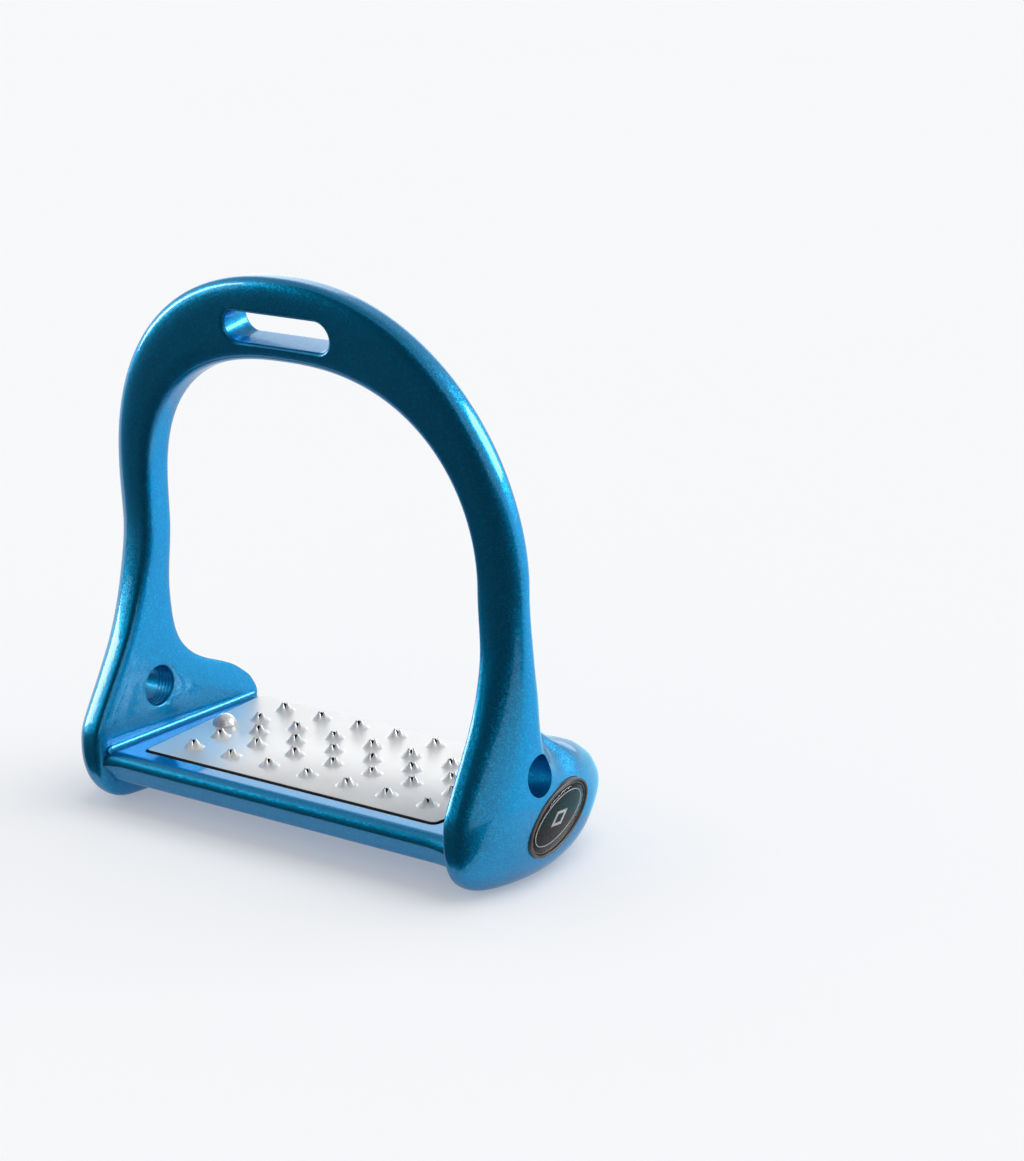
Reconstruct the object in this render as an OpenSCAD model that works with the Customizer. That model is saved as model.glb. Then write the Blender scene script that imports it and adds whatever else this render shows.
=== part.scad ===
// Stirrup iron: a one-piece cast arch with wide cheeks and a crossbar, a punched tread plate
// riveted into the crossbar, and an oval domed badge let into the outside of each cheek.
// Millimetres, +Z up, ground at Z = 0. X runs across the foot, the front of the iron is at -Y,
// and the origin is under the middle of the iron's footprint.

/* [Arch] */
// Height from the ground to the top of the arch
total_h = 158.5; // [153:0.5:164]
// Width of the metal over the leather slot
crown_w = 23.5; // [21:0.5:25]
// Thickness of the arch, front to back
arch_t = 11; // [10:0.5:13]
// Forward lean of the arch, in degrees
lean = 10.5; // [7:0.5:12]
// Half the clear width where the arch meets the legs
arch_in = 57; // [56:0.2:58]
// Half the outside width where the arch meets the legs
arch_out = 70.6; // [69:0.2:72]

/* [Leather slot] */
// Length of the slot, end to end
slot_l = 36; // [32:0.5:38]
// Height of the slot
slot_h = 8.6; // [8:0.2:9]
// Height of the slot's middle above the ground
slot_z = 143.8; // [142:0.2:145]

/* [Cheeks] */
// Clear width between the cheeks, just above the tread
inner_w = 120; // [119:0.5:121]
// Diameter of the hole through each cheek
hole_d = 11.6; // [8:0.2:12]
// Height of that hole above the ground
hole_z = 31; // [29:0.5:32]
// How far that hole is from the middle, negative to the front
hole_y = -9; // [-10:0.5:-7]

/* [Crossbar and tread] */
// Height of the deck above the ground
deck_z = 17.3; // [16.5:0.1:17.5]
// Thickness of the crossbar
bar_t = 10; // [9:0.5:11]
// How far the middle of the tread is behind the origin
tread_y = 5; // [4.5:0.1:5.5]
// Length of the tread plate's front edge, across the foot
plate_front_l = 103; // [102:0.5:106]
// Length of the tread plate's back edge, across the foot
plate_back_l = 114; // [108:0.5:115]
// Depth of the tread plate, front to back
plate_d = 57; // [56:0.5:58]
// Thickness of the tread plate
plate_t = 1.2; // [1:0.1:1.5]
// Thickness of the bedding pad under the plate
pad_t = 0.6; // [0.4:0.1:0.8]
// Distance between neighbouring teeth in a row
tooth_pitch = 14; // [13.5:0.1:14.2]
// Height of a tooth above the plate
tooth_h = 2.7; // [2:0.1:3]

/* [Rivets] */
// Diameter of a rivet's dome head
rivet_head_d = 7; // [6:0.1:7.4]
// Diameter of a rivet's shank
rivet_d = 4; // [3:0.1:4.4]

/* [Badge] */
// Length of the oval badge
badge_l = 30; // [26:0.5:31]
// Height of the oval badge
badge_w = 16; // [13:0.5:16.5]
// Upward tilt of the badge towards the back, in degrees
badge_tilt = 19; // [16:1:24]

/* [Hidden] */

// Side outlines of a cheek and its leg, as [height, distance from the middle].
nose_line = [
    [0, -17], [1, -23.5], [3, -28.3], [7, -32.2], [12, -34.2], [17.5, -34.8], [23, -34.2],
    [29, -31.2], [38, -26], [47, -21.2], [56, -17.8], [66, -15.4], [80, -14.4]
];
heel_line = [
    [0, 2], [1, 10], [3, 18], [7, 26.5], [12, 32], [17.5, 34.8], [23, 32], [26, 28.5], [29, 24],
    [31.5, 18.5], [34, 12.2], [37, 6.8], [41, 2.6], [46, 0], [54, -1.8], [64, -2.8], [80, -3.4]
];
// Front outlines of a cheek and its leg, as [height, half width].
inner_line = [
    [0, 63], [1, 61.6], [3, 60.5], [6, inner_w / 2], [38, inner_w / 2], [60, 59.1], [80, arch_in]
];
outer_line = [
    [0, 67], [1, 69.7], [3, 72.3], [6, 74.6], [10, 76.4], [15, 77.3], [20, 77.3], [28, 76.3],
    [38, 74.8], [50, 73.3], [62, 72], [80, arch_out]
];
// Where a cheek and its leg are fullest, as [height, distance from the middle].
ridge_line = [[0, -5], [16, -3], [28, -5.5], [40, -8.5], [60, -9.4], [80, -8.9]];
// Squareness of a section's inner and outer back corners, as [height, exponent].
inner_corner = [[0, 4], [12, 6], [30, 6], [60, 3.6], [80, 3.2]];
back_corner = [[0, 1.9], [12, 1.5], [34, 1.4], [44, 1.6], [54, 1.9], [80, 2.1]];
front_corner = 1.95;

ring_n = 32;
leg_top = 80;
leg_heights = [
    0, 0.4, 1, 2, 3.6, 6, 9, 13, 17.5, 20, 23, 26, 28, 30, 32, 34, 36, 38, 40.5, 43, 46, 50, 55,
    61, 69, 80
];
arch_steps = 16;
inner_round = 2.4;
outer_round = 2.17;
arch_in_h = total_h - crown_w - leg_top;
arch_out_h = total_h - leg_top;
leg_mid = 0.3;
lean_in = 10;
heel_slim = 0.6;

// Hollow behind each leg that the hole runs out into: place, size and depth.
hollow_y = 4;
hollow_z = 37;
hollow_ry = 8;
hollow_rz = 10;
hollow_depth = 4;

bar_front = -32.4;
bar_back = 33.8;
bar_end = 61.2;
bar_edge_r = 3;
back_slant = 8;
bar_fillet = 8;
fillet_lift = 0.6;
fillet_steps = 6;
deck_fillet_r = 1.2;
plate_front = -24.9;
plate_back = plate_front + plate_d;
plate_corner = 1.6;
plate_flare = atan((plate_back_l - plate_front_l) / 2 / plate_d);
plate_gap = 0.7;
plate_proud = 0.4;
tread_z = deck_z + plate_proud;
row_near = 8.9;
row_far = 20.2;
tooth_r = 2.7;
tooth_tip_r = 1.25;
tooth_bore_r = 0.85;
rivet_x = 48.5;
rivet_hole_r = rivet_d / 2 + 0.05;
rivet_sink = 1.2;

badge_x = 75.2;
badge_y = -0.9;
badge_z = 16.9;
badge_turn = 3;
bezel_w = 1.7;
bezel_t = 1.8;
disc_t = 0.5;
glue_t = 0.4;
dome_rise = 1.1;
land_blend = 2;

// Cubic through a list of [position, value] points, level at the last one.
function seg(p, z, i = 0) = (i >= len(p) - 2 || z < p[i + 1][0]) ? i : seg(p, z, i + 1);
function grade(p, i, j) = (p[j][1] - p[i][1]) / (p[j][0] - p[i][0]);
function slope(p, i) = i == len(p) - 1 ? 0 : grade(p, max(i - 1, 0), i + 1);
function curve(p, z) =
    let (i = seg(p, z), h = p[i + 1][0] - p[i][0], t = (z - p[i][0]) / h, u = 1 - t)
    (1 + 2 * t) * u * u * p[i][1] + t * u * u * h * slope(p, i)
    + t * t * (3 - 2 * t) * p[i + 1][1] - t * t * u * h * slope(p, i + 1);

function signed_pow(v, e) = sign(v) * pow(abs(v), e);
function mix(a, b, t) = a + (b - a) * t;

// One closed section: [across, along], across from 0 at the inner face to 1 at the outer face,
// along from the section's front edge through its ridge to its back edge.
function section_point(a, front, ridge, back, mid, slim, inner_n, front_n, back_n) =
    let (c = cos(a), s = sin(a), e = 2 / (c < 0 ? inner_n : s < 0 ? front_n : back_n),
         m = s < 0 ? mid : mid * (1 - slim * s * s))
    [m + (c < 0 ? m : 1 - m) * signed_pow(c, e),
     ridge + (s < 0 ? ridge - front : back - ridge) * signed_pow(s, e)];

function hollow(y, z) = hollow_depth
    * exp(-pow((y - hollow_y) / hollow_ry, 2) - pow((z - hollow_z) / hollow_rz, 2));

// Level ring through a cheek or leg at height z. side is 1 on the right and -1 on the left.
function leg_ring(z, side) =
    let (xi = curve(inner_line, z), xo = curve(outer_line, z))
    [for (k = [0 : ring_n - 1])
        let (p = section_point(k * 360 / ring_n, curve(nose_line, z), curve(ridge_line, z),
                curve(heel_line, z), leg_mid, heel_slim * smooth_step((50 - z) / 16),
                curve(inner_corner, z), front_corner, curve(back_corner, z)),
             sunk = hollow(p[1], z) * smooth_step((p[0] - 0.3) / 0.5))
        [side * soft_min(mix(xi, xo, p[0]) - sunk, land(p[1])), p[1], z]];

// Flat land that the cheek's outside eases into, for the badge.
function land(y) = badge_x - (y - badge_y) * tan(badge_turn);
function soft_min(a, b) =
    let (h = max(land_blend - abs(a - b), 0) / land_blend) min(a, b) - h * h * land_blend / 4;
function smooth_step(t) = let (u = min(max(t, 0), 1)) u * u * (3 - 2 * u);

// How far forward the arch has leant at a height above the legs: it starts upright.
function leaning(rise) = tan(lean) * (rise - lean_in * (1 - exp(-rise / lean_in)));

// Ring across the arch. turn is 0 at the crown and 90 at the top of a leg.
function arch_ring(turn, side) =
    let (q = 1 - turn / 90, front = curve(nose_line, leg_top), back = front + arch_t,
         ix = arch_in * pow(sin(turn), 2 / inner_round), iz = arch_in_h * pow(cos(turn), 2 / inner_round),
         ox = arch_out * pow(sin(turn), 2 / outer_round), oz = arch_out_h * pow(cos(turn), 2 / outer_round))
    [for (k = [0 : ring_n - 1])
        let (p = section_point(k * 360 / ring_n, front, (front + back) / 2, back,
                mix(leg_mid, 0.5, q), 0, mix(3.2, 4, q), mix(front_corner, 4, q), mix(2.1, 4, q)),
             rise = mix(iz, oz, p[0]))
        [side * mix(ix, ox, p[0]), p[1] - leaning(rise), leg_top + rise]];

function half_rings(side) = concat(
    [for (z = leg_heights) leg_ring(z, side)],
    [for (i = [1 : arch_steps - 1]) arch_ring(90 - 90 * i / arch_steps, side)]
);
function flipped(list) = [for (i = [len(list) - 1 : -1 : 0]) list[i]];

module arch_and_cheeks() {
    skin(concat(half_rings(1), [arch_ring(0, 1)], flipped(half_rings(-1))));
}

// Closed skin over a row of rings that all have the same number of points.
module skin(rings) {
    size = len(rings[0]);
    last = len(rings) - 1;
    points = [for (ring = rings) each ring];
    sides = [for (r = [0 : last - 1], k = [0 : size - 1])
        let (n = (k + 1) % size, a = r * size, b = a + size)
        each [[a + k, b + k, a + n], [a + n, b + k, b + n]]];
    caps = [[for (k = [0 : size - 1]) k], [for (k = [size - 1 : -1 : 0]) last * size + k]];
    polyhedron(points, concat(sides, caps));
}

function arc(cx, cy, r, from, to, n) =
    [for (i = [0 : n]) let (a = mix(from, to, i / n)) [cx + r * cos(a), cy + r * sin(a)]];

// Side outline of the crossbar, grown all round but for its deck: a bull-nosed front that falls
// back as it goes down, and a back that does the same.
function bar_outline(grow) =
    let (r = bar_edge_r, low = deck_z - bar_t)
    concat(arc(bar_front + r, deck_z - r - grow, r + grow, 90, 190, 6),
           arc(bar_front + 2 * r, low + r, r + grow, 200, 270, 5),
           arc(bar_back - back_slant - r, low + r, r + grow, -90, -30, 5),
           arc(bar_back - r, deck_z - r, r, -30, 90, 6));

// The crossbar swells a little on its way into each cheek.
module crossbar() {
    reach = bar_end - bar_fillet;
    half = [for (i = [0 : fillet_steps]) let (t = i / fillet_steps)
        [reach + bar_fillet * t, fillet_lift * t * t]];
    stations = concat([for (p = flipped(half)) [-p[0], p[1]]], half);
    skin([for (p = stations) [for (q = bar_outline(p[1])) [p[0], q[0], q[1]]]]);
}

// Outline of the tread plate, wider at the back, grown all round by a gap.
function plate_side(y, inset) =
    plate_front_l / 2 + (y - plate_front) * tan(plate_flare) - inset / cos(plate_flare);
function plate_half(gap) =
    let (r = plate_corner, near = plate_front + r, far = plate_back - r)
    concat(arc(plate_side(near, r), near, r + gap, -90, -plate_flare, 6),
           arc(plate_side(far, r), far, r + gap, -plate_flare, 90, 6));

module plate_slab(gap, low, t) {
    half = plate_half(gap);
    translate([0, 0, low])
        linear_extrude(t) polygon(concat(half, [for (p = flipped(half)) [-p[0], p[1]]]));
}

// Fillet that runs front to back where the deck meets each cheek.
module deck_fillet(side) {
    wall = inner_w / 2;
    rise = [[wall + 1, deck_z - 1], [wall - deck_fillet_r - 1, deck_z - 1], [wall - deck_fillet_r, deck_z],
            [wall, deck_z + deck_fillet_r], [wall + 1, deck_z + deck_fillet_r]];
    translate([0, bar_back - 6, 0]) rotate([90, 0, 0])
        linear_extrude(bar_back - bar_front - 10) polygon([for (p = rise) [side * p[0], p[1]]]);
}

module slot_cutter() {
    shift = slot_l / 2 - slot_h / 2;
    translate([0, curve(nose_line, leg_top) - leaning(slot_z - leg_top), slot_z])
        rotate([90 + lean, 0, 0])
            linear_extrude(60, center = true) {
                square([2 * shift, slot_h], center = true);
                for (s = [-1, 1])
                    translate([s * shift, 0]) circle(d = slot_h, $fn = 64);
            }
}

module hole_cutter(side) {
    translate([side * inner_w / 2, hole_y, hole_z]) rotate([0, 90, 0])
        cylinder(d = hole_d, h = 60, center = true, $fn = 64);
}

module oval(l, w, t) {
    linear_extrude(t) polygon([for (i = [0 : 47]) [l / 2 * cos(i * 7.5), w / 2 * sin(i * 7.5)]]);
}

// Puts a piece on a cheek's badge seat: its X along the badge, its Z straight out.
module on_badge(side) {
    mirror([side < 0 ? 1 : 0, 0, 0])
        translate([badge_x, badge_y, badge_z]) rotate([0, 0, badge_turn])
            rotate([badge_tilt, 0, 0]) rotate([90, 0, 90]) children();
}

module rivet_places() {
    for (s = [-1, 1])
        translate([s * rivet_x, tread_y + 0.5, 0]) children();
}

module frame_casting() {
    pocket = bezel_t + glue_t;
    color([0.02, 0.36, 0.62]) difference() {
        union() {
            arch_and_cheeks();
            crossbar();
            for (side = [-1, 1])
                deck_fillet(side);
        }
        slot_cutter();
        for (side = [-1, 1]) {
            hole_cutter(side);
            on_badge(side) translate([0, 0, -pocket]) oval(badge_l + 0.2, badge_w + 0.2, pocket + 5);
        }
        plate_slab(plate_gap, tread_z - plate_t - pad_t, 10);
        rivet_places() {
            cylinder(r = rivet_hole_r, h = deck_z, $fn = 48);
            translate([0, 0, deck_z - bar_t])
                cylinder(r1 = rivet_hole_r + rivet_sink, r2 = rivet_hole_r, h = rivet_sink, $fn = 48);
        }
    }
}

// A tooth is a short cone pushed up out of the plate, open at its tip.
module tooth() {
    rotate_extrude($fn = 24)
        polygon([[tooth_bore_r, -plate_t / 2], [tooth_r, -plate_t / 2], [tooth_r, 0],
                 [tooth_tip_r, tooth_h], [tooth_bore_r, tooth_h]]);
}

module tooth_places() {
    for (row = [-row_far, -row_near, row_near, row_far], i = [-3 : 3])
        translate([i * tooth_pitch, tread_y + row]) children();
    for (i = [-2.5 : 2.5])
        translate([i * tooth_pitch, tread_y]) children();
}

module tread_plate() {
    color([0.80, 0.81, 0.83]) {
        difference() {
            plate_slab(0, tread_z - plate_t, plate_t);
            rivet_places() cylinder(r = rivet_hole_r, h = 40, $fn = 48);
            tooth_places() cylinder(r = tooth_bore_r, h = 40, $fn = 24);
        }
        tooth_places() translate([0, 0, tread_z]) tooth();
    }
}

module tread_bedding_pad() {
    color([0.09, 0.09, 0.10]) difference() {
        plate_slab(0, tread_z - plate_t - pad_t, pad_t);
        rivet_places() cylinder(r = rivet_hole_r, h = 40, $fn = 48);
    }
}

// Dome-headed rivet: the tail is set into a countersink under the crossbar.
module rivet() {
    head_h = 3.2;
    shank = rivet_d / 2;
    low = deck_z - bar_t;
    ball = (pow(rivet_head_d / 2, 2) + head_h * head_h) / (2 * head_h);
    dome = [for (i = [0 : 8]) let (a = mix(asin(rivet_head_d / 2 / ball), 0, i / 8))
        [ball * sin(a), tread_z + head_h - ball + ball * cos(a)]];
    rotate_extrude($fn = 48)
        polygon(concat([[0, low], [shank + rivet_sink, low], [shank, low + rivet_sink], [shank, tread_z]],
                       dome));
}

module tread_rivets() {
    color([0.86, 0.86, 0.88]) rivet_places() rivet();
}

module badge_bezel(side) {
    color([0.16, 0.15, 0.16]) on_badge(side) translate([0, 0, -bezel_t]) difference() {
        oval(badge_l, badge_w, bezel_t + 0.5);
        translate([0, 0, disc_t]) oval(badge_l - 2 * bezel_w, badge_w - 2 * bezel_w, bezel_t + 1);
    }
}

module badge_disc(side) {
    color([0.05, 0.05, 0.06]) on_badge(side) translate([0, 0, disc_t - bezel_t])
        oval(badge_l - 2 * bezel_w - 0.1, badge_w - 2 * bezel_w - 0.1, disc_t);
}

// Clear dome, in rising oval steps that follow a circle's arc.
module badge_dome(side) {
    steps = 5;
    base = 2 * disc_t - bezel_t;
    full = bezel_t - 2 * disc_t + dome_rise;
    color([0.75, 0.78, 0.80, 0.35]) on_badge(side) translate([0, 0, base])
        for (i = [0 : steps - 1])
            let (shrink = 2 * bezel_w + 0.1 + 7 * (1 - sqrt(1 - pow(i / steps, 2))))
                oval(badge_l - shrink, badge_w - shrink, full * (i + 1) / steps);
}

module badge_adhesive(side) {
    color([0.70, 0.70, 0.66]) on_badge(side) translate([0, 0, -bezel_t - glue_t])
        oval(badge_l - 1, badge_w - 1, glue_t);
}

frame_casting();
tread_plate();
tread_bedding_pad();
tread_rivets();
badge_bezel(-1);  // badge_bezel_left
badge_bezel(1);  // badge_bezel_right
badge_disc(-1);  // badge_disc_left
badge_disc(1);  // badge_disc_right
badge_dome(-1);  // badge_dome_left
badge_dome(1);  // badge_dome_right
badge_adhesive(-1);  // badge_adhesive_left
badge_adhesive(1);  // badge_adhesive_right
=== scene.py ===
import math
import random

import bmesh
import bpy
import numpy as np
from mathutils import Matrix, Vector


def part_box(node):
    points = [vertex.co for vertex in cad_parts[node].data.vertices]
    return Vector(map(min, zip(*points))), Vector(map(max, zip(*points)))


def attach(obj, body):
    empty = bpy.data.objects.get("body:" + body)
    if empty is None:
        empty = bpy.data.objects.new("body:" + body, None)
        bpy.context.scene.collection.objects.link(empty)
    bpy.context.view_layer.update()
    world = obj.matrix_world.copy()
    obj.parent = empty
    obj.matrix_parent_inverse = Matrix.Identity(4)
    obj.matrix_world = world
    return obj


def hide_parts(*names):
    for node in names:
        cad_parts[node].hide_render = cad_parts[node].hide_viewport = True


M = 0.001

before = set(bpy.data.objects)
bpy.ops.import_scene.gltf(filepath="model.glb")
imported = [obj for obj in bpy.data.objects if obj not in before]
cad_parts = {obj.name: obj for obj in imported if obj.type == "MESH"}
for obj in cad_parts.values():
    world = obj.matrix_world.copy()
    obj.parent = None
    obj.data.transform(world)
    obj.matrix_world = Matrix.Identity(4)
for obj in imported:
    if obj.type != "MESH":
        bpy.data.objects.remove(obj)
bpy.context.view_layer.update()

# ---------------------------------------------------------------- driving dimensions
casting_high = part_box("frame_casting")[1]
plate_low, plate_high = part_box("tread_plate")
rivets_low, rivets_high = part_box("tread_rivets")

# The arch: its height, its crown's width, how thick it is front to back, how it leans forward,
# its half widths where it meets the legs, and how square its inside and outside curves are.
TOTAL_H = casting_high.z / M
CROWN_W = 23.5
ARCH_T = 11.0
LEAN = math.radians(10.5)
LEAN_IN = 10.0
ARCH_IN = 57.0
ARCH_OUT = 70.6
LEG_TOP = 80.0
INNER_ROUND = 2.4
OUTER_ROUND = 2.17

# The leather slot in the crown.
SLOT_L = 36.0
SLOT_H = 8.6
SLOT_Z = 143.8
SLOT_RIM = 1.3

# The width between the cheeks, and the round hole in each.
INNER_W = 120.0
HOLE_D = 11.6
HOLE_Y = -9.0
HOLE_Z = 31.0
HOLE_RIM = 0.7
HOLE_REACH = 30.0
# Turned grooves in a cheek's hole: how deep in each starts, then a groove's own steps and depth.
GROOVE_STARTS = (1.4, 2.6, 3.8, 5.0)
GROOVE_SLOPE = 0.2
GROOVE_FLAT_END = 0.5
GROOVE_W = 0.7
GROOVE_DEPTH = 0.18

# The crossbar: its deck lies a little lower than the tread plate's face.
TOOTH_H = 2.7
PLATE_PROUD = 0.4
TREAD_Z = plate_high.z / M - TOOTH_H
DECK_Z = TREAD_Z - PLATE_PROUD
BAR_T = 10.0
BAR_FRONT = -32.4
BAR_BACK = 33.8
BAR_END = 61.2
BAR_EDGE_R = 3.0
BACK_SLANT = 8.0
BAR_FILLET = 8.0
FILLET_LIFT = 0.6
DECK_FILLET = 1.6

# The tread plate, its pad and its teeth, in rows either side of the middle one at TREAD_Y.
PLATE_T = 1.2
PAD_T = 0.6
PLATE_GAP = 0.7
PLATE_FRONT = plate_low.y / M
PLATE_BACK = plate_high.y / M
PLATE_FRONT_L = 103.0
PLATE_BACK_L = 114.0
PLATE_CORNER = 1.6
PLATE_FLARE = math.atan((PLATE_BACK_L - PLATE_FRONT_L) / 2 / (PLATE_BACK - PLATE_FRONT))
TREAD_Y = 5.0
TOOTH_PITCH = 14.0
TOOTH_BASE_R = 3.3
TOOTH_CROWN_R = 0.9
TOOTH_PETALS = 3
TOOTH_TURN = math.radians(-50)
# A tooth's foot flares by a power of the way up, and its crown is torn into petals by notches.
TOOTH_FLARE = 1.5
NOTCH_DEPTH = 0.66
NOTCH_SHARPNESS = 1.7
# The bore inside a tooth, as (drop below the crown, share of the crown's radius).
TOOTH_BORE = ((0.1, 0.8), (0.5, 0.74), (1.4, 0.7), (3.0, 0.7))
TOOTH_AROUND = 48
TOOTH_RISE = 9
ROW_NEAR = 8.9
ROW_FAR = 20.2

# The two rivets.
RIVET_X = 48.5
RIVET_Y = (rivets_low.y + rivets_high.y) / 2 / M
RIVET_HEAD_R = 3.5
RIVET_HEAD_H = 3.2
RIVET_R = 2.0
RIVET_SINK = 1.2
RIVET_PLAY = 0.05

# The badges: where they sit, how they are turned, and how thick each layer is.
BADGE_L = 30.0
BADGE_W = 16.0
BADGE_AT = (75.2, -0.9, 16.9)
BADGE_TURN = math.radians(3)
BADGE_TILT = math.radians(19)
BEZEL_W = 1.7
BEZEL_T = 1.8
DISC_T = 0.5
GLUE_T = 0.4
DOME_RISE = 1.1
# Insets of the oval line on the badge, and the half length and half width of its lozenge.
LINE_OUTER = 3.3
LINE_INNER = 3.55
LOZENGE_L = 4.4
LOZENGE_W = 1.9
INK_LIFT = 0.06
# Distance over which a cheek's outside eases into the badge's flat.
LAND_BLEND = 2.0

# Side outlines of a cheek and its leg, as (height, distance from the middle).
NOSE = [
    (0, -17), (1, -23.5), (3, -28.3), (7, -32.2), (12, -34.2), (17.5, -34.8), (23, -34.2),
    (29, -31.2), (38, -26), (47, -21.2), (56, -17.8), (66, -15.4), (80, -14.4),
]
HEEL = [
    (0, 2), (1, 10), (3, 18), (7, 26.5), (12, 32), (17.5, 34.8), (23, 32), (26, 28.5), (29, 24),
    (31.5, 18.5), (34, 12.2), (37, 6.8), (41, 2.6), (46, 0), (54, -1.8), (64, -2.8), (80, -3.4),
]
# Front outlines, as (height, half width).
INNER = [
    (0, 63), (1, 61.6), (3, 60.5), (6, INNER_W / 2), (38, INNER_W / 2), (60, 59.1), (80, ARCH_IN),
]
OUTER = [
    (0, 67), (1, 69.7), (3, 72.3), (6, 74.6), (10, 76.4), (15, 77.3), (20, 77.3), (28, 76.3),
    (38, 74.8), (50, 73.3), (62, 72), (80, ARCH_OUT),
]
# Where a cheek and its leg are fullest from front to back.
RIDGE = [(0, -5), (16, -3), (28, -5.5), (40, -8.5), (60, -9.4), (80, -8.9)]
# How square a section's inner, outer back and outer front corners are.
INNER_CORNER = [(0, 4), (12, 6), (30, 6), (60, 3.6), (80, 3.2)]
BACK_CORNER = [(0, 1.9), (12, 1.5), (34, 1.4), (44, 1.6), (54, 1.9), (80, 2.1)]
FRONT_CORNER = 1.95
CROWN_CORNER = 4.0
# Where across a leg its section is deepest, and the share by which that moves inwards at the
# heel's back, from HEEL_TOP down over HEEL_FADE.
LEG_MID = 0.3
HEEL_SLIM = 0.6
HEEL_TOP = 50.0
HEEL_FADE = 16.0

# Hollow behind each leg that the hole runs out into.
HOLLOW_Y = 4.0
HOLLOW_Z = 37.0
HOLLOW_RY = 8.0
HOLLOW_RZ = 10.0
HOLLOW_DEPTH = 4.0
# Share of the way across a leg where the hollow starts, and over which it reaches its depth.
HOLLOW_FROM = 0.3
HOLLOW_OVER = 0.5

# How finely the skins are cut, and how much finer the casting's rings are near the floor.
RING_N = 144
LEG_RINGS = 130
ARCH_RINGS = 72
OVAL_N = 96
FLOOR_FINE = 1.25


# ---------------------------------------------------------------- curves and sections
def grade(p, i, j):
    """Gradient from one point of a list to another."""
    return (p[j][1] - p[i][1]) / (p[j][0] - p[i][0])


def slope(p, i):
    """Gradient of the curve at one of its points."""
    return 0.0 if i == len(p) - 1 else grade(p, max(i - 1, 0), i + 1)


def curve(p, z):
    """Cubic through a list of (position, value) points, level at the last one."""
    i = max(0, min(len(p) - 2, sum(1 for q in p if q[0] <= z) - 1))
    h = p[i + 1][0] - p[i][0]
    t = (z - p[i][0]) / h
    u = 1 - t
    start = (1 + 2 * t) * u * u * p[i][1] + t * u * u * h * slope(p, i)
    return start + t * t * (3 - 2 * t) * p[i + 1][1] - t * t * u * h * slope(p, i + 1)


def mix(a, b, t):
    """Straight blend from a to b."""
    return a + (b - a) * t


def smooth_step(t):
    """0 to 1 with level ends."""
    t = np.clip(t, 0, 1)
    return t * t * (3 - 2 * t)


def soft_min(a, b):
    """The smaller of two values, blended where they are close."""
    h = np.maximum(LAND_BLEND - np.abs(a - b), 0) / LAND_BLEND
    return np.minimum(a, b) - h * h * LAND_BLEND / 4


def land(y):
    """The flat that a cheek's outside eases into, for the badge."""
    return BADGE_AT[0] - (y - BADGE_AT[1]) * math.tan(BADGE_TURN)


def leaning(rise):
    """How far forward the arch has leant at a height above the legs: it starts upright."""
    return math.tan(LEAN) * (rise - LEAN_IN * (1 - np.exp(-rise / LEAN_IN)))


def section(front, ridge, back, mid, slim, inner_n, front_n, back_n):
    """Closed section: across is 0 at the inner face, 1 at the outer; along runs front to back."""
    a = np.arange(RING_N) * 2 * math.pi / RING_N
    c = np.cos(a)
    s = np.sin(a)
    power = 2 / np.where(c < 0, inner_n, np.where(s < 0, front_n, back_n))
    m = np.where(s < 0, mid, mid * (1 - slim * s * s))
    across = m + np.where(c < 0, m, 1 - m) * np.sign(c) * np.abs(c) ** power
    along = ridge + np.where(s < 0, ridge - front, back - ridge) * np.sign(s) * np.abs(s) ** power
    return across, along


def leg_ring(z):
    """Level ring through the right cheek or leg at height z."""
    slim = HEEL_SLIM * smooth_step((HEEL_TOP - z) / HEEL_FADE)
    across, y = section(
        curve(NOSE, z), curve(RIDGE, z), curve(HEEL, z), LEG_MID, slim,
        curve(INNER_CORNER, z), FRONT_CORNER, curve(BACK_CORNER, z))
    away_y = (y - HOLLOW_Y) / HOLLOW_RY
    away_z = (z - HOLLOW_Z) / HOLLOW_RZ
    hollow = HOLLOW_DEPTH * np.exp(-away_y ** 2 - away_z ** 2)
    reached = smooth_step((across - HOLLOW_FROM) / HOLLOW_OVER)
    x = mix(curve(INNER, z), curve(OUTER, z), across) - hollow * reached
    return np.stack([soft_min(x, land(y)), y, np.full(RING_N, float(z))], 1)


def arch_ring(turn):
    """Ring across the arch: turn is 0 at the crown and a right angle at the top of a leg."""
    q = 1 - turn / (math.pi / 2)
    front = curve(NOSE, LEG_TOP)
    back = front + ARCH_T
    sine = math.sin(turn)
    cosine = max(math.cos(turn), 0.0)
    across, along = section(
        front, (front + back) / 2, back, mix(LEG_MID, 0.5, q), 0,
        mix(INNER_CORNER[-1][1], CROWN_CORNER, q), mix(FRONT_CORNER, CROWN_CORNER, q),
        mix(BACK_CORNER[-1][1], CROWN_CORNER, q))
    inner_h = TOTAL_H - CROWN_W - LEG_TOP
    outer_h = TOTAL_H - LEG_TOP
    inner_power = 2 / INNER_ROUND
    outer_power = 2 / OUTER_ROUND
    rise = mix(inner_h * cosine ** inner_power, outer_h * cosine ** outer_power, across)
    x = mix(ARCH_IN * sine ** inner_power, ARCH_OUT * sine ** outer_power, across)
    return np.stack([x, along - leaning(rise), LEG_TOP + rise], 1)


def arc(cx, cy, r, start, end, n):
    """Points along an arc, its angles in degrees."""
    angles = [math.radians(mix(start, end, i / n)) for i in range(n + 1)]
    return [(cx + r * math.cos(a), cy + r * math.sin(a)) for a in angles]


def around(n):
    """Angles of n even steps round a circle."""
    return [2 * math.pi * i / n for i in range(n)]


def lathe(x, y, profile, n):
    """Level rings about a point from (height, radius) pairs."""
    tip = 1e-4
    return [[(x + max(r, tip) * math.cos(a), y + max(r, tip) * math.sin(a), z) for a in around(n)]
            for z, r in profile]


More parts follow.
